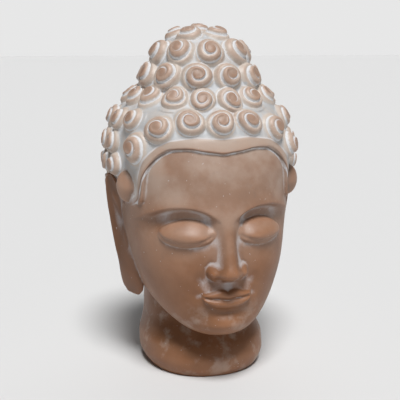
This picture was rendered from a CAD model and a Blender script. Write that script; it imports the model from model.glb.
# %% [markdown]
# # A terracotta head with snail-shell curls
#
# The object is a hollow clay head pressed in a mould, fired to a warm brown, brushed with
# limewash and wiped, so that the white stays in every recess. It is one casting, so it is
# one mesh here too. The lesson builds it in the order a modeller works: the big masses,
# the features of the face, the ears, the curls, then wear and colour.

# %% Load the frame
import math
from functools import partial

import bmesh
import bpy
import numpy as np
from mathutils import Matrix, Vector
from mathutils.bvhtree import BVHTree
from mathutils.kdtree import KDTree


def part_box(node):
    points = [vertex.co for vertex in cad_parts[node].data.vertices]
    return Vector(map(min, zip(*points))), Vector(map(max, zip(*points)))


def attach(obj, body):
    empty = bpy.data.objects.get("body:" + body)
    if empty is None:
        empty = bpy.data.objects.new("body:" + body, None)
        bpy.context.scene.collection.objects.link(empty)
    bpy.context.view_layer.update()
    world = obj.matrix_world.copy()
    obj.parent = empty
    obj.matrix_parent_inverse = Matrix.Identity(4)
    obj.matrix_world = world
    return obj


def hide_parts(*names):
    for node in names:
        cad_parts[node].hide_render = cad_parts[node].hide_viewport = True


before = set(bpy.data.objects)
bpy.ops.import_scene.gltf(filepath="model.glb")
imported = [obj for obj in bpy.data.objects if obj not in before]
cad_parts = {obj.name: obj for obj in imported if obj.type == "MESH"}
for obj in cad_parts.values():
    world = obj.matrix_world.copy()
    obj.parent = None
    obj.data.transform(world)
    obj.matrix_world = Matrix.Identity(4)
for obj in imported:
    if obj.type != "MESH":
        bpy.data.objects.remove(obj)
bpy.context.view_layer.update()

low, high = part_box("buddha_head")
tall = high[2] - low[2]
print(f"the solid is {tall * 1000:.0f} mm tall")

# %% [markdown]
# ## Drawn millimetres
#
# A sculptor works from a drawing. Every shape below is drawn on a head 400 mm tall, and
# two factors turn the drawing into metres: one upward, one across. That way a change of
# the frame's height carries through the whole head.

# %% Scale of the drawing
MM = 0.001
UP = tall / 400
ACROSS = 1.086 * UP
GRID = 0.8 * MM
MOST_TRIANGLES = 188000
print(f"one drawn millimetre is {UP / MM:.3f} mm up and {ACROSS / MM:.3f} mm across")


# %% [markdown]
# ## Curves through a few numbers
#
# Profiles are given by a handful of stations. A polynomial through them would swing
# between the stations, and straight lines would leave facets. The curve used here, a
# monotone cubic, is smooth and never rises above its stations. The other helpers are the
# brushes of the lesson: a soft step, a soft mound, and a narrow line.

# %% Brushes
def between(at, stations):
    """The value at each place, on a smooth curve through (place, value) stations."""
    places, values = np.array(stations, float).T
    gaps = np.diff(places)
    slopes = np.diff(values) / gaps
    product = slopes[:-1] * slopes[1:]
    total = np.where(product > 0, slopes[:-1] + slopes[1:], 1)
    inner = np.where(product > 0, 2 * product / total, 0)
    tangents = np.concatenate([slopes[:1], inner, slopes[-1:]])
    index = np.clip(np.searchsorted(places, at, side="right") - 1, 0, len(gaps) - 1)
    t = np.clip((at - places[index]) / gaps[index], 0, 1)
    rise = t * t * (3 - 2 * t)
    leave = t * (1 - t) ** 2 * gaps[index] * tangents[index]
    arrive = t * t * (t - 1) * gaps[index] * tangents[index + 1]
    return values[index] * (1 - rise) + values[index + 1] * rise + leave + arrive


def ramp(value, start, end):
    """0 before start, 1 after end, and smooth between them."""
    t = np.clip((value - start) / (end - start), 0, 1)
    return t * t * (3 - 2 * t)


def mound(x, z, middle, reach):
    """A soft round swelling, 1 at its middle."""
    return np.exp(-(((x - middle[0]) / reach[0]) ** 2) - ((z - middle[1]) / reach[1]) ** 2)


def line(offset, width):
    """A narrow ridge or groove profile, 1 on the line."""
    return np.exp(-((offset / width) ** 2))


print(f"a ramp from 0 to 4 has risen to {ramp(1, 0, 4):.2f} at 1")


# %% [markdown]
# ## The masses: skull, neck and topknot
#
# Each mass is a stack of level slices. A slice is a rounded oval, so five numbers say
# where it is and how far it reaches: height, half width, front, where it is widest, and
# back. Lofting through such slices gives the egg of the skull with few numbers, where a
# sculpted sphere would take hundreds of strokes.

# %% Slices of the three masses
SKULL = (
    (56, 12, -84, -74, -66),
    (60, 27, -94, -66, -54),
    (66, 38, -100, -60, -44),
    (75, 49, -103, -50, -28),
    (86, 59, -103, -38, -4),
    (100, 68, -103, -26, 26),
    (120, 76, -103, -16, 58),
    (145, 83, -103, -8, 82),
    (170, 88, -102, -2, 97),
    (195, 91, -101, 2, 105),
    (220, 93, -98, 6, 110),
    (245, 96.5, -93, 8, 113),
    (268, 95.5, -86, 9, 110),
    (288, 91, -77, 9, 102),
    (306, 81, -65, 9, 88),
    (321, 62, -46, 9, 65),
    (332, 37, -22, 9, 40),
    (337, 6, 4, 9, 14),
)
NECK = (
    (-6, 56, -66, 1, 53),
    (0, 60, -70, 1, 57),
    (8, 65, -75, 1, 62),
    (18, 68, -76, 2, 67),
    (31, 68, -71, 4, 71),
    (45, 64, -60, 8, 72),
    (60, 61, -49, 12, 73),
    (82, 60, -41, 14, 74),
    (112, 59, -37, 14, 76),
    (150, 50, -30, 14, 78),
)
TOPKNOT = (
    (290, 76, -68, 6, 80),
    (306, 71, -63, 6, 75),
    (320, 65, -58, 6, 70),
    (332, 58, -53, 6, 65),
    (344, 53, -48, 6, 60),
    (356, 48, -44, 6, 56),
    (367, 42, -37, 6, 49),
    (377, 34, -29, 6, 41),
    (385, 22, -16, 6, 28),
    (389, 7, 0, 6, 12),
)
AXIS = 7
SKULL_RADIUS = 95
print(f"the masses have {len(SKULL)}, {len(NECK)} and {len(TOPKNOT)} slices")

# %% [markdown]
# A slice turns into a ring of points. A power a little under one makes the oval fuller
# than an ellipse, as a skull is. A subdivision surface could round a coarse cage, but
# stacked rings keep every height where it was drawn. They make a mesh quad by quad, and a
# flat face closes each end.

# %% From slices to meshes
def oval(row, turn):
    """One level slice as (x, y), and the outward direction at each point."""
    _, half_width, front, widest, back = row
    forward = np.cos(turn) > 0
    depth = np.where(forward, widest - front, back - widest)
    power = np.where(forward, 0.90, 0.95)
    sine, cosine = np.sin(turn), np.cos(turn)
    x = half_width * np.sign(sine) * np.abs(sine) ** power
    y = widest - depth * np.sign(cosine) * np.abs(cosine) ** power
    outward = np.stack([x / half_width**2, (y - widest) / depth**2], axis=-1)
    return x, y, outward / np.linalg.norm(outward, axis=-1, keepdims=True)


def slices(rows, heights):
    """The slices at closely spaced heights."""
    table = np.array(rows, float)
    columns = [between(heights, table[:, (0, column)]) for column in range(1, 5)]
    return np.stack([heights, *columns], axis=-1)


def tube(name, rings):
    """A closed mesh through rings of points in metres, given as rows of equal length."""
    rows, around = rings.shape[:2]
    k = np.arange(around)
    a = (np.arange(rows - 1)[:, None] * around + k).ravel()
    b = (np.arange(rows - 1)[:, None] * around + (k + 1) % around).ravel()
    faces = np.stack([a, b, b + around, a + around], axis=-1).tolist()
    faces += [k[::-1].tolist(), (k + (rows - 1) * around).tolist()]
    mesh = bpy.data.meshes.new(name)
    mesh.from_pydata(rings.reshape(-1, 3), [], faces)
    obj = bpy.data.objects.new(name, mesh)
    bpy.context.scene.collection.objects.link(obj)
    return obj


def plain_mass(name, rows):
    """A mass with no features of its own, such as the neck."""
    turn = np.linspace(-math.pi, math.pi, 181)[:-1]
    rings = []
    for row in slices(rows, np.linspace(rows[0][0], rows[-1][0], 90)):
        x, y, _ = oval(row, turn)
        rings.append(np.stack([x, y, np.full_like(x, row[0])], axis=-1))
    return tube(name, np.array(rings) * (ACROSS, ACROSS, UP))


neck = plain_mass("neck", NECK)
topknot = plain_mass("topknot", TOPKNOT)
print("the neck and the topknot are lofted")


# %% [markdown]
# ## Brows and closed eyes
#
# A mould-made face is a relief: every feature can be drawn as a height over the plain
# oval, like a map. A height map suits mould work, because a mould allows no undercuts.
# The brow is an arch with a crisp lower edge, the eye a shallow ball, and the lids are
# two levels on it that meet at the lash line.

# %% Height of the brows and lids
def brow_and_eyes(x, z):
    """Arched brows with a crisp lower edge, and closed lids under them."""
    below = 204 - 19 * np.abs((x - 42) / 40) ** 2.2 - z
    crest = 2.2 * np.exp(-((np.minimum(below, 0) / 9) ** 2)) * ramp(-below, -2.5, 0.5)
    crest = crest * ramp(x, 3, 15) * ramp(x, 88, 66)
    hollow = -7.5 * ramp(below, -0.5, 6) * ramp(below, 32, 12) * ramp(x, 9, 21) * ramp(x, 82, 58)
    lash = between(x, ((12, 176), (20, 171), (38, 166.5), (54, 170), (64, 175)))
    above_lash = ramp(z - lash, -0.8, 0.8)
    tall_half = np.where(z > 175, 14.5, 13.0)
    roundness = 1 - ((x - 38) / 26.5) ** 2 - ((z - 175) / tall_half) ** 2
    ball = 8.4 * np.sqrt(np.maximum(roundness, 0))
    lids = ball * (0.78 + 0.22 * above_lash)
    closed = -1.8 * line(z - lash, 1.4) * ramp(x, 11, 17) * ramp(x, 66, 60)
    crease = between(x, ((13, 177), (22, 186.5), (38, 191.5), (53, 188), (64, 178)))
    fold = -1.2 * line(z - crease, 1.5) * ramp(x, 14, 20) * ramp(x, 64, 57)
    return crest + hollow + lids + closed + fold


print("the lid stands", brow_and_eyes(np.array([38.0]), np.array([180.0])).round(1), "mm out")


# %% [markdown]
# ## Nose, mouth, chin and cheeks
#
# The nose is a ridge whose height and width change down the face, with a small ball for
# the tip and one for each wing. The lips are two rolls between three drawn lines: upper
# edge, seam and lower edge. All of it is symmetric, so the functions take the distance
# from the middle, and one side serves for both.

# %% Height of the lower face
NOSE_HEIGHT = (
    (123, 0),
    (126, 6),
    (129.5, 14),
    (134, 18.5),
    (140, 19.5),
    (148, 17.5),
    (160, 14),
    (174, 10.5),
    (188, 7),
    (202, 4),
    (216, 1.5),
    (230, 0),
)
NOSE_WIDTH = ((124, 9), (134, 10), (146, 8), (168, 7), (186, 8.5), (200, 13), (216, 22))


def nose(x, z):
    """A straight narrow bridge that widens to a rounded tip and two wings."""
    ridge = between(z, NOSE_HEIGHT) / (1 + np.abs(x / between(z, NOSE_WIDTH)) ** 3.2)
    tip = 2.6 * mound(x, z, (0, 134.5), (7.5, 6.5))
    wing = 9.5 * np.exp(-(np.hypot((x - 12.5) / 6.4, (z - 134.5) / 6.6) ** 2.6))
    side = -1.6 * line(np.hypot((x - 12), (z - 135.5) * 0.9) - 9.5, 1.6) * ramp(x, 11, 16)
    nostril = -2.6 * mound(x, z, (7.5, 127.5), (3.6, 3.0))
    return np.maximum(ridge, wing) + 0.35 * np.minimum(ridge, wing) + tip + side + nostril


def mouth(x, z):
    """Full lips with a cupid's bow and a faint smile."""
    muzzle = 4.0 * mound(x, z, (0, 106), (34, 22))
    seam = 105.2 - 1.3 * np.exp(-((x / 4.5) ** 2)) + 3.4 * (x / 27) ** 3
    top = between(x, ((0, 113.2), (5.5, 115.6), (15, 113), (27, 109)))
    low = between(x, ((0, 94), (9, 94.8), (18, 99.5), (26, 107.5)))
    upper = np.clip((z - seam) / np.maximum(top - seam, 0.5), 0, 1)
    lower = np.clip((seam - z) / np.maximum(seam - low, 0.5), 0, 1)
    full = 3.4 * np.sqrt(np.sin(np.pi * upper) + 1e-9) + 4.2 * np.sin(np.pi * lower) ** 0.6
    parting = -2.4 * line(z - seam, 1.2) * ramp(x, 29, 23)
    corner = -1.2 * mound(x, z, (29, 108.5), (5, 5))
    groove = -0.6 * line(x, 4.0) * ramp(z, 114, 117) * ramp(z, 126, 122)
    return muzzle + full * ramp(x, 28, 20) + parting + corner + groove


def chin_and_cheeks(x, z):
    """The rounded chin, the fold over it, and full cheeks."""
    chin = 5.5 * mound(x, z, (0, 74), (19, 12))
    fold = -2.8 * mound(x, z, (0, 87.5), (17, 5.0))
    cheek = 3.6 * mound(x, z, (47, 137), (27, 28))
    beside_nose = -2.0 * mound(x, z, (24, 124), (7, 13))
    return chin + fold + cheek + beside_nose


def face_relief(x, z):
    """How far the face stands out of the plain oval, in drawn millimetres."""
    off = np.abs(x)
    return brow_and_eyes(off, z) + nose(off, z) + mouth(off, z) + chin_and_cheeks(off, z)


print("the nose's tip stands", face_relief(np.zeros(1), np.array([138.0])).round(1), "mm out")


# %% [markdown]
# ## The hair's edge
#
# A smooth band runs round the forehead, with a sharp step under it and a fine groove over
# it. It dips in the middle, narrows to the temples and then follows the ear to the nape.
# The edge is drawn as height against angle. Where it runs steeply down the temple, a
# height alone would smear the step, so the distance is measured square to the edge.

# %% Hairline and band
HAIRLINE = (
    (0, 260),
    (11, 263),
    (20, 265.5),
    (29, 264.5),
    (36, 259),
    (41, 251),
    (45, 241),
    (48, 230),
    (50.5, 218),
    (53, 207),
    (60, 201),
    (68, 197),
    (78, 194),
    (88, 190),
    (100, 160),
    (112, 126),
    (130, 106),
    (180, 98),
)
BAND_SHARE = (
    (0, 1.45),
    (10, 1.30),
    (24, 1.00),
    (40, 0.80),
    (50, 0.55),
    (56, 0.42),
    (62, 0.30),
    (180, 0.30),
)
BAND = 10.5
BAND_STEP = 3.8
BAND_FADE = (61, 52)


def above_hairline(degrees, z):
    """How far above the hair's lower edge this lies, measured square to the edge."""
    rise = between(degrees + 1, HAIRLINE) - between(degrees - 1, HAIRLINE)
    slope = rise / math.radians(2) / SKULL_RADIUS
    return (z - between(degrees, HAIRLINE)) / np.sqrt(1 + slope**2)


def hair_relief(turn, z):
    """The band that stands out from the forehead, a groove over it, then the scalp."""
    degrees = np.degrees(turn)
    rise = above_hairline(degrees, z)
    band = BAND * between(degrees, BAND_SHARE)
    step = BAND_STEP * (ramp(rise, -0.6, 0.8) - 0.35 * ramp(rise, band - 0.6, band + 0.9))
    groove = 0.7 * line(rise - band, 0.9)
    undercut = 1.2 * line(rise + 0.9, 0.9)
    return (step - groove - undercut) * ramp(degrees, *BAND_FADE)


print(f"the hairline in front is {HAIRLINE[0][1] * UP / MM:.0f} mm up")


# %% [markdown]
# ## Skull and face in one loft
#
# The relief is laid on the slices before they become a mesh. Points stand closer in front,
# where the features are, than at the back, which the curls hide.

# %% Skull with its relief
def skull_mass():
    """Skull and face, with the features and the hair's edge raised on it."""
    heights = np.arange(SKULL[0][0], SKULL[-1][0] + 0.5, 0.75 * GRID / UP)
    even = np.linspace(-1, 1, round(0.62 / GRID))[:-1]
    turn = math.pi * (0.7 * even + 0.3 * even**3)
    facing = ramp(np.cos(turn), 0.05, 0.45)
    rings = []
    for row in slices(SKULL, heights):
        x, y, outward = oval(row, turn)
        z = np.full_like(x, row[0])
        push = face_relief(x, z) * facing + hair_relief(np.abs(turn), z)
        rings.append(np.stack([x + outward[:, 0] * push, y + outward[:, 1] * push, z], axis=-1))
    return tube("skull", np.array(rings) * (ACROSS, ACROSS, UP))


skull = skull_mass()
print(f"the skull has {len(skull.data.vertices)} points")


# %% [markdown]
# ## Ears
#
# The ears are long flat leaves that lean against the head, pointed at the top, with a
# rolled rim, a hollow and a heavy lobe. The outline is given flat, as the front and back
# edge on the way down, and the outer side gets its relief as the face did.

# %% Left ear and its mirror image
EAR_LENGTH = 143
EAR_WIDTH = 45
EAR_THICKNESS = 8.75
EAR_PLACE = (79, -40, 226)
EAR_FLARE, EAR_LEAN, EAR_NOD = -31, 8, 6
EAR_OUTLINE = (
    (0.00, 0.78, 0.94),
    (0.04, 0.60, 1.00),
    (0.12, 0.32, 1.02),
    (0.24, 0.02, 1.00),
    (0.36, -0.10, 0.94),
    (0.50, -0.10, 0.86),
    (0.68, -0.06, 0.75),
    (0.84, -0.10, 0.70),
    (0.94, -0.06, 0.64),
    (1.00, 0.08, 0.50),
)


def ear_relief(s, t):
    """The outer side of an ear: a rolled rim, a hollow, the fold behind it, the lobe."""
    rim = 3.0 * line(s - 0.93, 0.10) * ramp(t, 0.80, 0.60)
    front_rim = 3.4 * line(s - 0.10, 0.13) * ramp(t, 0.42, 0.30)
    hollow = -4.6 * mound(s, t, (0.52, 0.36), (0.26, 0.17))
    fold = 2.2 * line(s - (0.66 - 0.3 * t), 0.10) * ramp(t, 0.10, 0.2) * ramp(t, 0.62, 0.48)
    lobe = 2.4 * mound(s, t, (0.5, 0.84), (0.5, 0.14))
    return rim + front_rim + hollow + fold + lobe


def ear():
    """The left ear, set against the head."""
    outline = np.array(EAR_OUTLINE)
    down = np.linspace(0, 1, 200)
    front = EAR_WIDTH * between(down, outline[:, (0, 1)])
    back = EAR_WIDTH * between(down, outline[:, (0, 2)])
    s = np.linspace(0, 1, 80)
    rings = []
    for t, near, far in zip(down, front, back):
        round_ends = math.sin(math.pi * min(max(t, 0.02), 0.98)) ** 0.3
        edge = np.sqrt(np.clip(1 - np.abs(2 * s - 1) ** 5, 0, 1)) * round_ends
        y = near + (far - near) * s
        z = np.full_like(s, -t * EAR_LENGTH)
        outer = np.stack([(EAR_THICKNESS / 2 + ear_relief(s, t)) * edge, y, z], axis=-1)
        inner = np.stack([-EAR_THICKNESS / 2 * edge, y, z], axis=-1)[::-1][1:-1]
        rings.append(np.concatenate([outer, inner]))
    obj = tube("ear", np.array(rings)[::-1] * (ACROSS, ACROSS, UP))
    flare = Matrix.Rotation(math.radians(EAR_FLARE), 4, "Z")
    lean = Matrix.Rotation(math.radians(EAR_LEAN), 4, "Y")
    nod = Matrix.Rotation(math.radians(EAR_NOD), 4, "X")
    x, y, z = EAR_PLACE
    place = Matrix.Translation((x * ACROSS, y * ACROSS, z * UP))
    obj.data.transform(place @ flare @ (lean @ nod))
    return obj


def with_mirror(obj):
    """The object and its twin on the other side of the head."""
    twin = bpy.data.objects.new(obj.name, obj.data.copy())
    bpy.context.scene.collection.objects.link(twin)
    twin.data.transform(Matrix.Scale(-1, 4, (1, 0, 0)))
    twin.data.flip_normals()
    return [obj, twin]


ears = with_mirror(ear())
print(f"two ears, {EAR_LENGTH * UP / MM:.0f} mm long")


# %% [markdown]
# ## Fusing masses into one skin
#
# Clay masses are pressed together and smeared over the joint. A boolean union would keep
# a knife-sharp seam and is slow on dense meshes. A voxel remesh samples the whole shape on
# a fine grid and wraps one closed skin round it, which leaves exactly the small soft
# fillet that fingers leave.

# %% One skin
def fused(name, blocks, cell):
    """The blocks as one closed skin."""
    bm = bmesh.new()
    for block in blocks:
        bm.from_mesh(block.data)
        bpy.data.objects.remove(block)
    mesh = bpy.data.meshes.new(name)
    bm.to_mesh(mesh)
    bm.free()
    obj = bpy.data.objects.new(name, mesh)
    bpy.context.scene.collection.objects.link(obj)
    remesh = obj.modifiers.new("fuse", "REMESH")
    remesh.mode = "VOXEL"
    remesh.voxel_size = cell
    return baked(obj)


def baked(obj):
    """The object with its modifiers applied."""
    graph = bpy.context.evaluated_depsgraph_get()
    mesh = bpy.data.meshes.new_from_object(obj.evaluated_get(graph))
    obj.modifiers.clear()
    obj.data = mesh
    return obj


scalp = fused("scalp", [skull, neck, topknot], 1.5 * GRID)
scalp_tree = BVHTree.FromObject(scalp, bpy.context.evaluated_depsgraph_get())
print(f"the bare head has {len(scalp.data.polygons)} faces")


# %% [markdown]
# ## Where the curls sit
#
# The curls stand in rows: one row follows the band from temple to temple, and level rings
# go on down to the nape and up to the topknot, where the line of sight tilts upward so
# that the rings close over the top. Each place is found by looking at the scalp from
# outside along a ray. Rings meet the first row at an angle, so a curl that would crowd
# another is left out, as a modeller does where rows run together.

# %% Rows of curls
CURL_RADIUS = 14.8 * MM
CURL_HEIGHT = 12.3 * MM
CURL_SPACING = 30.5 * MM
FIRST_ROW = 1.12
LAST_CURL = 58
CLEARANCE = 0.92
CROWDING = 0.40
ROW_GAP = 0.83
LOWER_CURLS = 0.96
BEHIND_EAR = 74
# Height, tilt of the view and size of each upper ring.
CURL_RINGS = (
    (315, 0, 1.00),
    (339, 0, 1.12),
    (334, 33, 1.15),
    (334, 62, 1.00),
    (334, 90, 0.92),
)


def cast(turn, height, tilt):
    """The scalp's point and normal at this turn and height, looked at from outside."""
    centre = Vector((0, AXIS * ACROSS, height * UP))
    level = math.cos(tilt)
    direction = Vector((math.sin(turn) * level, -math.cos(turn) * level, math.sin(tilt)))
    return scalp_tree.ray_cast(centre + direction * tall, -direction)[:2]


def hairline_row():
    """Angles and heights of the first row, clear of the band."""
    degrees = np.linspace(0, 75, 151)
    edge = between(degrees, HAIRLINE)
    clear = CLEARANCE * CURL_RADIUS * FIRST_ROW / UP + BAND * between(degrees, BAND_SHARE)
    slope = np.gradient(edge, np.radians(degrees) * SKULL_RADIUS)
    square = np.sqrt(1 + slope**2)
    turned = degrees - np.degrees(clear * slope / square / SKULL_RADIUS)
    raised = edge + clear / square
    order = np.argsort(turned)
    kept = (turned[order] >= 0) & (turned[order] <= LAST_CURL)
    return turned[order][kept], raised[order][kept]


def evenly(points, steps, offset, size):
    """The steps at which equal lengths of this line of points begin."""
    lengths = [0.0] + [(b - a).length for a, b in zip(points, points[1:])]
    walked = np.cumsum(lengths)
    count = max(1, round(walked[-1] / (CURL_SPACING * size)))
    return np.interp((np.arange(count) + 0.5 * offset) * walked[-1] / count, walked, steps)


def curl_spots():
    """Each curl as (point, normal, size)."""
    spots = []
    degrees, heights = hairline_row()

    def lowest(turn):
        off = math.degrees(abs(turn))
        if off < BEHIND_EAR:
            return float(np.interp(off, degrees, heights))
        return float(between(off, HAIRLINE)) + BAND + CURL_RADIUS / UP

    def place(turn, height, tilt, size):
        point, normal = cast(turn, height, tilt)
        rooms = [CROWDING * CURL_SPACING * (size + other[2]) for other in spots]
        if all((point - other[0]).length > room for other, room in zip(spots, rooms)):
            spots.append((point, normal, size))

    steps = np.radians(np.concatenate([-degrees[:0:-1], degrees]))
    row = [cast(turn, lowest(turn), 0.0)[0] for turn in steps]
    for turn in evenly(row, steps, 1, FIRST_ROW):
        place(turn, lowest(turn), 0.0, FIRST_ROW)
    gap = ROW_GAP * CURL_SPACING / UP
    lower = np.arange(heights.max(), HAIRLINE[-1][1], -gap)
    rings = [*CURL_RINGS, *((height, 0, LOWER_CURLS) for height in lower)]
    steps = np.linspace(-math.pi, math.pi, 73)
    for number, (height, tilt, size) in enumerate(rings):
        tilt = math.radians(tilt)
        ring = [cast(turn, height, tilt)[0] for turn in steps]
        for turn in evenly(ring, steps, (number + 1) % 2, size):
            if tilt or height > lowest(turn):
                place(turn, height, tilt, size)
    return spots


spots = curl_spots()
print(f"{len(spots)} curls")


# %% [markdown]
# ## The shape of a curl
#
# Each curl is a rope of clay wound up like a snail shell: a comma-shaped knob in the
# middle, then a turn and a half that steps down to the scalp, with a tooled groove
# between the turns. It could be a curve with a round section swept along a spiral, but
# ropes that touch leave gaps to close. A height over a disc is simpler: distance from the
# middle and angle together say on which turn of the rope a point lies.

# %% Snail shells
CURL_TURNS = 2.3
GROOVE_DEPTH = 1.6 * MM
GROOVE_WIDTH = 0.75 * MM
ROPE_ROUND = 1.5 * MM
KNOB = (0.26, 0.42)
SKIRT = 1.34
GROUND = 1.6 * MM


def rope_place(share, angle):
    """Where a point lies across the rope, from 0 at its inner edge to 1 at its outer edge."""
    return (CURL_TURNS * share - angle / (2 * math.pi)) % 1


def curl_height(share, angle, size):
    """Height of a curl over the scalp, at a share of its radius and an angle round it."""
    across = rope_place(share, angle)
    middle = np.clip(share - (across - 0.5) / CURL_TURNS * ramp(share, *KNOB), 0, 1)
    dome = 0.62 * (1 - share**2.4) + 0.38 * (1 - middle**2.0)
    rope = ROPE_ROUND * (1 - (2 * across - 1) ** 2) * ramp(share, *KNOB)
    near_groove = np.minimum(across, 1 - across) * CURL_RADIUS * size / CURL_TURNS
    groove = GROOVE_DEPTH * line(near_groove, GROOVE_WIDTH) * ramp(share, *KNOB)
    rise = CURL_HEIGHT - ROPE_ROUND - GROUND
    coil = (rise * dome + rope - groove) * ramp(share, 1.16, 0.90)
    return (coil + GROUND * ramp(share, SKIRT, 0.9)) * size


print(f"a curl is {2 * CURL_RADIUS / MM:.0f} mm across and {CURL_HEIGHT / MM:.0f} mm high")

# %% [markdown]
# ## Each curl in its place
#
# No two curls of a hand-finished mould are alike. Each leans a little, starts its spiral
# elsewhere and is pinched out of round, and about one in four winds the other way. One
# curl could be copied to every place, but the eye finds copies at once. All the chance
# comes from two seeded generators, so each run makes the same head. The ground under a
# curl isn't flat: rays cast round its middle say how it leans and bends, and the curl
# stands on a curved surface fitted to them, so that its rim meets the scalp all round.

# %% Curls on the scalp
LEAN = 0.07
LEFT_HANDED = 0.25
SIZES = (0.95, 1.05)
PROBE = 0.03
chance = np.random.default_rng(11)
pinch = np.random.default_rng(5)


def wobble(angle, phases):
    """How far a pinched curl reaches in each direction, as a share of its radius."""
    return 1 + 0.05 * np.cos(2 * angle + phases[0]) + 0.03 * np.cos(3 * angle + phases[1])


def curl_frames():
    """For each curl its place, its axes as the columns of a matrix, its size and its pinches."""
    frames = []
    for point, normal, size in spots:
        lean = Vector(chance.normal(0, LEAN, 3).tolist())
        axis = (normal + lean - normal * lean.dot(normal)).normalized()
        side = axis.orthogonal().normalized()
        side = Matrix.Rotation(chance.uniform(0, 2 * math.pi), 3, axis) @ side
        hand = -1 if chance.random() < LEFT_HANDED else 1
        basis = Matrix((side, axis.cross(side) * hand, axis)).transposed()
        phases = pinch.uniform(0, 2 * math.pi, 2)
        size = size * chance.uniform(*SIZES)
        frames.append((np.array(point), np.array(basis), size, phases))
    return frames


def bend(x, y):
    """The terms of a surface that leans and bends both ways."""
    return np.stack([x, y, x * x, x * y, y * y], axis=-1)


def scalp_under(place, basis, radius):
    """How the scalp leans and bends under a curl, fitted to rays cast around it."""
    axis = Vector(basis[:, 2])
    around, depths = [], []
    for share in (0.35, 0.7, 1.0, 1.3):
        for angle in np.linspace(0, 2 * math.pi, 24, endpoint=False):
            spot = share * radius * np.array([math.cos(angle), math.sin(angle)])
            start = Vector(place + basis[:, :2] @ spot) + axis * PROBE
            hit = scalp_tree.ray_cast(start, -axis, 2 * PROBE)[0]
            if hit:
                around.append(spot)
                depths.append((np.array(hit) - place) @ basis[:, 2])
    return np.linalg.lstsq(bend(*np.array(around).T), np.array(depths), rcond=None)[0]


def snail_shell(place, basis, size, phases):
    """One curl as a closed mesh sunk into the scalp."""
    share = np.linspace(0.02, SKIRT, 50)[:, None]
    angle = np.linspace(0, 2 * math.pi, 73)[None, :-1]
    radius = CURL_RADIUS * size
    x = share * np.cos(angle) * radius * wobble(angle, phases)
    y = share * np.sin(angle) * radius * wobble(angle, phases)
    z = curl_height(share, angle, size) + bend(x, y) @ scalp_under(place, basis, radius)
    rings = np.stack([x, y, z], axis=-1)
    foot = rings[-1:] - (0, 0, 0.5 * radius)
    rings = np.concatenate([rings, foot])
    return tube("curl", rings @ basis.T + place)


frames = curl_frames()
curls = [snail_shell(*curl) for curl in frames]
print(f"{len(curls)} curls stand on the scalp")


# %% [markdown]
# ## Drops of hair before the ears
#
# The first row ends on each side in a smooth drop that points down, with no spiral. A
# modeller presses on a rolled lump of clay. A lathe profile would do, but a ball of mesh is
# quicker: it is drawn out, narrowed downward and sunk to its middle in the scalp.

# %% Sideburns
SIDEBURN_LENGTH = 36 * MM
SIDEBURN_WIDTH = 27 * MM
SIDEBURN_PLACE = (63, 220)
NARROWING = 0.42
THICKNESS = 0.9


def sideburn():
    """The left drop of hair in front of the ear."""
    degrees, height = SIDEBURN_PLACE
    spot, normal = cast(math.radians(degrees), height, 0.0)
    across = normal.cross(Vector((0, 0, 1))).normalized()
    axes = Matrix((across, normal.cross(across), normal)).transposed()
    bm = bmesh.new()
    bmesh.ops.create_uvsphere(bm, u_segments=64, v_segments=40, radius=0.5)
    for v in bm.verts:
        x, y, z = v.co
        wide = SIDEBURN_WIDTH * (1 - NARROWING * ramp(y, -0.05, 0.65))
        thick = z * THICKNESS * SIDEBURN_WIDTH
        v.co = spot + axes @ Vector((x * wide, y * SIDEBURN_LENGTH, thick))
    mesh = bpy.data.meshes.new("sideburn")
    bm.to_mesh(mesh)
    bm.free()
    obj = bpy.data.objects.new("sideburn", mesh)
    bpy.context.scene.collection.objects.link(obj)
    return obj


drops = with_mirror(sideburn())
print(f"two drops, {SIDEBURN_LENGTH / MM:.0f} mm long")

# %% [markdown]
# ## All of it in one skin
#
# Now the scalp, the ears, the drops and the curls are fused as the first masses were. The
# finish needs to know later which points were ears or drops, and a fused mesh can't say.
# So their points are kept in search trees first, which find the nearest one quickly.

# %% Fuse the head
def skin_of(parts):
    """The points of these parts, ready for a search of the nearest."""
    skin = KDTree(sum(len(part.data.vertices) for part in parts))
    for part in parts:
        for vertex in part.data.vertices:
            skin.insert(vertex.co, vertex.index)
    skin.balance()
    return skin


ear_skin, drop_skin = skin_of(ears), skin_of(drops)
head = fused("moulded_head", [scalp, *ears, *drops, *curls], GRID)
print(f"fused head: {len(head.data.polygons)} faces")


# %% [markdown]
# ## Fewer triangles, and a flat foot
#
# The fused skin has the same tiny cells everywhere. A decimation merges them where the
# form is plain, such as the crown of the nose or the nape, and keeps them in the grooves.
# Then the neck is sawn level, as the real head stands on a flat rim.

# %% Thin out and cut
def thinned(obj, most):
    """The object with no more than this many triangles."""
    triangles = sum(len(face.vertices) - 2 for face in obj.data.polygons)
    thin = obj.modifiers.new("thin", "DECIMATE")
    thin.ratio = min(1, most / triangles)
    return baked(obj)


def drop_crumbs(bm):
    """Deletes every shell but the largest, such as bubbles that the fusing shut in."""
    left = set(bm.verts)
    shells = []
    while left:
        shell = [left.pop()]
        for vert in shell:
            fresh = {edge.other_vert(vert) for edge in vert.link_edges} & left
            left -= fresh
            shell.extend(fresh)
        shells.append(shell)
    shells.sort(key=len)
    crumbs = [vert for shell in shells[:-1] for vert in shell]
    bmesh.ops.delete(bm, geom=crumbs, context="VERTS")
    print(f"{len(shells) - 1} bubbles deleted")


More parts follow.
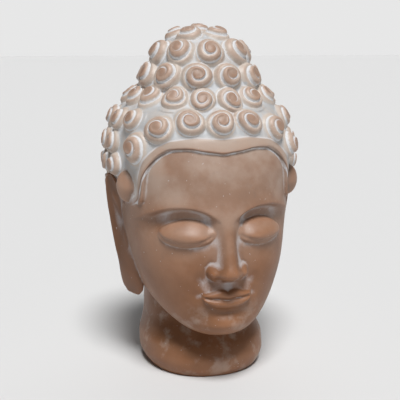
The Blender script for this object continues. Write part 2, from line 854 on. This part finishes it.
def cut_flat(obj):
    """Cuts the neck off at height 0 and closes it with a flat face."""
    bm = bmesh.new()
    bm.from_mesh(obj.data)
    drop_crumbs(bm)
    geometry = bm.verts[:] + bm.edges[:] + bm.faces[:]
    bmesh.ops.bisect_plane(
        bm, geom=geometry, plane_co=(0, 0, 0), plane_no=(0, 0, -1), clear_outer=True
    )
    rim = [edge for edge in bm.edges if edge.is_boundary]
    bmesh.ops.triangle_fill(bm, edges=rim, use_beauty=True, normal=(0, 0, -1))
    bmesh.ops.triangulate(bm, faces=[face for face in bm.faces if len(face.verts) > 3])
    bm.to_mesh(obj.data)
    bm.free()


thinned(head, MOST_TRIANGLES)
cut_flat(head)
print(f"{len(head.data.polygons)} triangles after thinning")

for face in head.data.polygons:
    face.use_smooth = True
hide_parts("buddha_head")
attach(head, "root")


# %% [markdown]
# ## Where a wiped wash stays
#
# Limewash is brushed over the whole head and wiped off before it dries. The cloth rides
# over the high places and misses the low ones. So the question for each point is how far
# it lies under the surface round about. The mesh is averaged with its neighbours a few
# times, and the distance from each point to its average, measured along the normal, says
# it. Few rounds find tool marks, and many rounds find wide hollows.

# %% Measure hollows
def average(values, edges, rounds):
    """The values after each point has been averaged with its neighbours."""
    count = len(values)
    near, far = edges.T
    shares = np.bincount(near, minlength=count) + np.bincount(far, minlength=count)
    for _ in range(rounds):
        columns = []
        for column in values.T:
            total = np.bincount(near, column[far], count) + np.bincount(far, column[near], count)
            columns.append(total / shares)
        values = np.stack(columns, axis=-1)
    return values


def read(collection, name, width, kind=float):
    """A property of every element of a mesh as an array."""
    values = np.empty(len(collection) * width, kind)
    collection.foreach_get(name, values)
    return values.reshape(-1, width)


def store(mesh, name, values):
    """Keeps one number or one vector for each point of the mesh."""
    kind, key = ("FLOAT", "value") if values.ndim == 1 else ("FLOAT_VECTOR", "vector")
    layer = mesh.attributes.new(name, kind, "POINT")
    layer.data.foreach_set(key, values.astype(np.float32).ravel())


mesh = head.data
points = read(mesh.vertices, "co", 3)
normals = read(mesh.vertex_normals, "vector", 3)
edges = read(mesh.edges, "vertices", 2, np.int32)
for name, rounds in (("tool_mark", 4), ("hollow", 26)):
    offset = average(points, edges, rounds) - points
    depth = np.einsum("ij,ij->i", offset, normals) / MM
    store(mesh, name, average(depth[:, None], edges, 1)[:, 0])
    print(name, "in mm at 5, 50 and 95%:", np.percentile(depth, (5, 50, 95)).round(2))


# %% [markdown]
# ## Maps on the hair and on every curl
#
# The mesh is too coarse for the thin white line in a spiral groove. The line is drawn by
# the material instead, which needs to know where on its curl each point lies. So each
# point keeps its place on the nearest curl, as shares of the curl's radius. The distance is
# kept as a number of its own: where two curls meet, blended places would pass through a
# middle that isn't there. A second map says how far the point lies from the two edges of
# the hair band. The ears and the drops of hair before them are smooth, so each gets a mark
# far below any real distance instead.

# %% Coordinates on the curls and in the hair
DROP_MARK, EAR_MARK = -15, -25
SKIN_DISTANCE = 1.2 * MM


def curl_places(points):
    """For each point its (across, along, distance) from the nearest curl's middle, in radii."""
    centres, bases, sizes, phases = (np.array(column) for column in zip(*frames))
    gaps = np.linalg.norm(points[:, None] - centres[None], axis=-1)
    nearest = gaps.argmin(axis=1)
    local = np.einsum("ij,ijk->ik", points - centres[nearest], bases[nearest])
    angle = np.arctan2(local[:, 1], local[:, 0])
    radii = CURL_RADIUS * sizes[nearest] * wobble(angle, phases[nearest].T)
    flat = local[:, :2] / radii[:, None]
    return np.column_stack([flat, np.hypot(*flat.T)])


def hair_places(points):
    """For each point: drawn mm over the hair's edge, mm over the band, and the band's strength."""
    x, y, z = (points / (ACROSS, ACROSS, UP)).T
    degrees = np.degrees(np.abs(np.arctan2(x, AXIS - y)))
    rise = above_hairline(degrees, z)
    over_band = rise - BAND * between(degrees, BAND_SHARE)
    over_band = np.clip(over_band, -9, 30)
    fade = ramp(degrees, *BAND_FADE) * (y < AXIS)
    for skin, mark in ((drop_skin, DROP_MARK), (ear_skin, EAR_MARK)):
        near = np.array([skin.find(point)[2] < SKIN_DISTANCE for point in points])
        over_band = np.where(near, mark, over_band)
        fade = np.where(near, 0, fade)
    return np.stack([np.clip(rise, -30, 30), over_band, fade], axis=-1)


places = curl_places(points)
store(mesh, "on_curl", places)
store(mesh, "in_hair", hair_places(points))
print(f"{(places[:, 2] < 1).mean() * 100:.0f}% of the points are on curls")


# %% [markdown]
# ## Colours and nodes
#
# A finish is a chain of small nodes. They could be wired by hand in the shader editor, but
# a written chain can be read and changed. One function adds any node. It is told the kind
# and the mode, and fills the open inputs in order, or by name, with numbers, links or
# colours. Colours are given as on a screen, in sRGB hex, and the shader wants linear
# light, so another function converts them.

# %% Helpers for materials
MODES = {
    "Attribute": "attribute_name",
    "MapRange": "interpolation_type",
    "Math": "operation",
    "Mix": "data_type",
}
PLUS, MINUS, TIMES, DIVIDE = "Math ADD", "Math SUBTRACT", "Math MULTIPLY", "Math DIVIDE"
LEAST, MOST, UNSIGNED = "Math MINIMUM", "Math MAXIMUM", "Math ABSOLUTE"
STEP, LAYER = "MapRange SMOOTHSTEP", "Mix RGBA"


def linear(code):
    """An sRGB hex colour as linear red, green, blue and alpha."""
    parts = np.array([int(code[i : i + 2], 16) for i in (1, 3, 5)]) / 255
    light = np.where(parts <= 0.04045, parts / 12.92, ((parts + 0.055) / 1.055) ** 2.4)
    return (*light.tolist(), 1)


def add(tree, kind, *values, output=None, **named):
    """Adds a node, fills its open inputs in order or by name, and gives back an output."""
    kind, _, mode = kind.partition(" ")
    node = tree.nodes.new("ShaderNode" + kind)
    if mode:
        setattr(node, MODES[kind], mode)
    slots = [socket for socket in node.inputs if socket.enabled]
    by_name = [(node.inputs[name.replace("_", " ")], value) for name, value in named.items()]
    for socket, value in [*zip(slots, values), *by_name]:
        if isinstance(value, bpy.types.NodeSocket):
            tree.links.new(value, socket)
        else:
            socket.default_value = linear(value) if isinstance(value, str) else value
    outputs = [socket for socket in node.outputs if socket.enabled]
    return next((socket for socket in outputs if output in (None, socket.name)), None)


print(f"half grey on a screen is {linear('#808080')[0]:.2f} in linear light")

# %% [markdown]
# ## Terracotta with limewash
#
# The clay is iron-rich earthenware, pressed in a mould and fired to a matt brown, with
# clouds where the kiln was hotter. Over it lies limewash: opaque white in grooves, a thin
# grey bloom on broad surfaces, and little on the rubbed places, which handling has made
# slightly glossy. Painted textures would need an unwrapped mesh. Noise in object space
# needs none: its sizes are in millimetres, and it stays in place from every side.

# %% The finish and its patterns
finish = bpy.data.materials.new("terracotta_with_limewash")
finish.use_nodes = True
finish.node_tree.nodes.clear()
node = partial(add, finish.node_tree)
space = node("TexCoord", output="Object")
# Size in millimetres, detail and roughness of each pattern. The grain of fired clay is
# about half a millimetre, too fine for the render, so the crumbs are drawn coarser.
PATTERNS = (
    (42, 3, 0.5),  # clouds from the kiln
    (14, 4, 0.6),  # patches where the cloth turned
    (24, 5, 0.6),  # smears of wash
    (9, 5, 0.65),  # stains in the clay
    (2.4, 4, 0.65),  # crumbs of the surface
    (2.6, 2, 0.5),  # spatter from the brush
)
clouds, patches, smears, stains, crumbs, spatter = (
    node("TexNoise", Vector=space, Scale=1000 / size, Detail=detail, Roughness=roughness)
    for size, detail, roughness in PATTERNS
)
ragged = node(MINUS, crumbs, 0.5)
uneven = node(MINUS, patches, 0.5)
print(f"{len(PATTERNS)} patterns, the finest {PATTERNS[-2][0]} mm wide")

# %% [markdown]
# The maps of the last two steps come in as attributes. Their parts are distances, so a
# soft step on one of them marks a zone: the hair, the ears, or a part of a curl.

# %% Zones
tool_mark = node("Attribute tool_mark", output="Fac")
hollow = node("Attribute hollow", output="Fac")
hair_map = node("Attribute in_hair", output="Vector")
edge_rise, band_rise, band_fade = (node("SeparateXYZ", hair_map, output=axis) for axis in "XYZ")
curl_map = node("Attribute on_curl", output="Vector")
across, along, share = (node("SeparateXYZ", curl_map, output=axis) for axis in "XYZ")
height = node("SeparateXYZ", space, output="Z")
in_hair = node(STEP, band_rise, -0.4, 1.4)
off_ears = node(STEP, band_rise, EAR_MARK + 1, EAR_MARK + 13, 0.15, 1)
off_curls = node(MINUS, 1, node(TIMES, in_hair, node(STEP, share, 1.12, 1.02)))
print(f"the ears are marked {EAR_MARK} and the drops {DROP_MARK}")

# %% [markdown]
# The spiral line. Distance from the curl's middle and the angle round it give the place
# across the rope, exactly as in the mesh, and the wash fills the groove between two turns.
# A greyer wash lies on the ground between the curls. It thins out downward and away from
# them, because the brush came from above.

# %% Wash on and between the curls
angle = node(DIVIDE, node("Math ARCTAN2", along, across), 2 * math.pi)
rope = node("Math FRACT", node(MINUS, node(TIMES, share, CURL_TURNS), angle))
pitch = CURL_RADIUS / MM / CURL_TURNS
to_groove = node(TIMES, node(LEAST, rope, node(MINUS, 1, rope)), pitch)
to_groove = node(PLUS, to_groove, ragged)
to_groove = node(DIVIDE, to_groove, node(STEP, share, 0.45, 0.95, 1, 0.6))
spiral = node(STEP, to_groove, 1.2, 0.45)
for limit in (node(STEP, share, *KNOB), node(STEP, share, 1.12, 1), in_hair):
    spiral = node(TIMES, spiral, limit)
valley = node(STEP, node(PLUS, share, node(TIMES, uneven, 0.25)), 0.98, 1.14)
higher = node(STEP, height, 0.09, 0.27, 0.3, 1)
for limit in (in_hair, higher, node(STEP, share, 1.8, 1.3, 0.45, 1)):
    valley = node(TIMES, valley, limit)
mottled = node(PLUS, patches, node(TIMES, ragged, 0.5))
grey = node(TIMES, valley, node(STEP, mottled, 0.3, 0.65, 0.4, 0.95))
print(f"the turns of a curl lie {pitch:.1f} mm apart")

# %% [markdown]
# The wash elsewhere: fine lines in tool marks, a soft halo in wide hollows, and a line on
# each side of the hair band, broken where the cloth pressed harder.

# %% Wash on the face, the ears, the neck and the band
mark = node(PLUS, tool_mark, node(TIMES, ragged, 0.22))
lines = node(TIMES, node(STEP, mark, 0.12, 0.6, 0, 0.42), off_curls)
lines = node(TIMES, lines, node(STEP, mark, 1.4, 0.7, 0.2, 1))
wide = node(PLUS, hollow, node(TIMES, uneven, 2.2))
halo = node(TIMES, node(STEP, wide, 0.6, 6, 0, 0.3), off_curls)
halo = node(TIMES, halo, off_ears)
below_edge = node(PLUS, edge_rise, node(PLUS, node(TIMES, ragged, 1.2), 1.6))
under_band = node(STEP, node(UNSIGNED, below_edge), 1.4, 0.5, 0, 0.75)
for limit in (node(STEP, patches, 0.36, 0.6, 0.3, 1), band_fade):
    under_band = node(TIMES, under_band, limit)
over_band = node(TIMES, node(STEP, node(UNSIGNED, band_rise), 1.1, 0.4, 0, 0.5), band_fade)
wash = node(MOST, lines, halo)
for part in (node(TIMES, spiral, 0.75), under_band, over_band):
    wash = node(MOST, wash, part)
print(f"{len(finish.node_tree.nodes)} nodes so far")

# %% [markdown]
# The bloom is the thin grey veil that the cloth left. It is strongest on the crown, the
# band and the curls, weak on the ears, and rubbed off the curls' middles. On the neck it
# is patchy.

# %% Bloom
veil = node(PLUS, node(TIMES, clouds, 0.75), node(TIMES, patches, 0.25))
downward = node(STEP, height, 0.1, 0.29, 0.12, 1)
bloom = node(TIMES, node(STEP, veil, 0.38, 0.62, 0.28, 0.6), downward)
smudges = node(TIMES, node(STEP, smears, 0.45, 0.68, 0, 0.42), node(STEP, height, 0.12, 0.06))
bloom = node(TIMES, node(MOST, bloom, smudges), off_ears)
on_band = node(TIMES, node(STEP, edge_rise, 0, 2.5, 0, 0.6), band_fade)
on_drops = node(STEP, node(UNSIGNED, node(MINUS, band_rise, DROP_MARK)), 3, 1, 0, 0.32)
dusty = node(STEP, node(PLUS, patches, node(TIMES, share, 0.35)), 0.45, 0.9, 0.48, 0.9)
for part in (on_band, on_drops, node(TIMES, in_hair, dusty)):
    bloom = node(MOST, bloom, part)
knob = node(TIMES, node(STEP, share, 0.6, 0.34), in_hair)
bloom = node(TIMES, bloom, node(MINUS, 1, node(TIMES, knob, 0.45)))
print(f"{len(finish.node_tree.nodes)} nodes so far")

# %% [markdown]
# Layers from the clay outward: kiln clouds, stains, a darker foot and darker ears, bloom,
# rubbed clay, the grey wash between the curls, the white wash with its specks, and the
# dark line where the band meets the forehead. Each layer is a colour and how much of what
# lies under it it covers. Wash is rougher than rubbed clay.

# %% Colour, sheen and grain
rubbed = node(STEP, mark, -0.1, -0.8, 0, 0.32)
between_curls = node(TIMES, in_hair, node(STEP, share, 0.92, 1.08))
rubbed = node(TIMES, rubbed, node(MINUS, 1, between_curls))
specks = node(STEP, spatter, 0.72, 0.78, 0, 0.45)
dark = node(TIMES, node(STEP, node(UNSIGNED, edge_rise), 0.9, 0.3, 0, 0.65), band_fade)
dark = node(TIMES, dark, node(STEP, clouds, 0.35, 0.6, 0.35, 1))
layers = (
    ("#905b31", clouds),
    ("#543320", node(STEP, stains, 0.55, 0.8, 0, 0.45)),
    ("#3c2416", node(STEP, height, 0.24, 0.07, 0, 0.08)),
    ("#3c2416", node(STEP, band_rise, EAR_MARK + 7, EAR_MARK + 1, 0, 0.35)),
    ("#beb4aa", bloom),
    ("#a5704c", rubbed),
    ("#a9abad", grey),
    ("#d2d6db", node(MOST, wash, specks)),
    ("#4a3022", dark),
)
colour = "#673f21"
for paint, cover in layers:
    colour = node(LAYER, cover, colour, paint)

grain = node("Bump", Strength=0.35, Distance=0.0004, Height=crumbs)
roughness = node(STEP, wash, 0, 0.6, 0.48, 0.85)
shader = node("BsdfPrincipled", Base_Color=colour, Roughness=roughness, IOR=1.5, Normal=grain)
node("OutputMaterial", shader)
mesh.materials.clear()
mesh.materials.append(finish)
print(f"the finish has {len(finish.node_tree.nodes)} nodes")

# %% [markdown]
# ## Camera
#
# The head is seen slightly from its right and from above, at an arm's length, with a
# short telephoto lens, as in a catalogue. A long lens keeps the head's proportions.

# %% Place the camera
LENS = 71.3
AZIMUTH, ELEVATION = math.radians(-15), math.radians(11)
DISTANCE = 0.95
AIM_SHARE = 0.48
camera_data = bpy.data.cameras.new("camera")
camera_data.lens = LENS
camera = bpy.data.objects.new("camera", camera_data)
bpy.context.scene.collection.objects.link(camera)
level = math.cos(ELEVATION)
back = Vector((math.sin(AZIMUTH) * level, -math.cos(AZIMUTH) * level, math.sin(ELEVATION)))
camera.location = Vector((0, 0, AIM_SHARE * tall)) + back * DISTANCE
camera.rotation_mode = "QUATERNION"
camera.rotation_quaternion = (-back).to_track_quat("-Z", "Y")
bpy.context.scene.camera = camera
print("the camera stands at", [round(value, 2) for value in camera.location])

# %% [markdown]
# ## Studio
#
# The head stands on a pale floor that fades into a pale surround. The main light comes
# from above and in front, a faint one fills in from the head's left, and one from behind
# lifts the crown. A lamp close by would be brighter on the near side, so all three are far
# and wide, which gives clay its soft, even sheen. The surround is pale only near the
# horizon, since a white ceiling would wash out the shadows. The floor is studio paper,
# so matt that it shows nothing but a soft shadow.

# %% Floor
FLOOR_HALF = 30.0
floor_mesh = bpy.data.meshes.new("floor")
corners = [(x * FLOOR_HALF, y * FLOOR_HALF, 0) for x, y in ((-1, -1), (1, -1), (1, 1), (-1, 1))]
floor_mesh.from_pydata(corners, [], [(0, 1, 2, 3)])
floor = bpy.data.objects.new("floor", floor_mesh)
bpy.context.scene.collection.objects.link(floor)
paper = bpy.data.materials.new("white_paper")
paper.use_nodes = True
matt = paper.node_tree.nodes["Principled BSDF"]
matt.inputs["Base Color"].default_value = linear("#cfcfcf")
matt.inputs["Roughness"].default_value = 0.9
floor_mesh.materials.append(paper)
print(f"the floor is {2 * FLOOR_HALF:.0f} m wide")

# %% Lights and surround
# Direction, spread in degrees and strength of each light.
LIGHTS = {
    "key": ((-0.08, -0.72, 1.5), 20, 3.8),
    "fill": ((0.6, -1.0, 0.15), 60, 0.2),
    "back_light": ((0.5, 1.2, 1.2), 60, 0.45),
}
HORIZON, OVERHEAD = 0.80, 0.04

for name, (place, spread, strength) in LIGHTS.items():
    data = bpy.data.lights.new(name, "SUN")
    data.angle = math.radians(spread)
    data.energy = strength
    lamp = bpy.data.objects.new(name, data)
    lamp.location = place
    lamp.rotation_mode = "QUATERNION"
    lamp.rotation_quaternion = (-lamp.location).to_track_quat("-Z", "Y")
    bpy.context.scene.collection.objects.link(lamp)

world = bpy.data.worlds.new("studio")
world.use_nodes = True
direction = add(world.node_tree, "TexCoord", output="Generated")
upward = add(world.node_tree, "SeparateXYZ", direction, output="Z")
brightness = add(world.node_tree, STEP, upward, 0.06, 0.24, HORIZON, OVERHEAD)
background = world.node_tree.nodes["Background"]
background.inputs["Color"].default_value = linear("#ffffff")
world.node_tree.links.new(brightness, background.inputs["Strength"])
bpy.context.scene.world = world
bpy.context.scene.view_settings.view_transform = "Standard"
print(f"{len(LIGHTS)} lights")
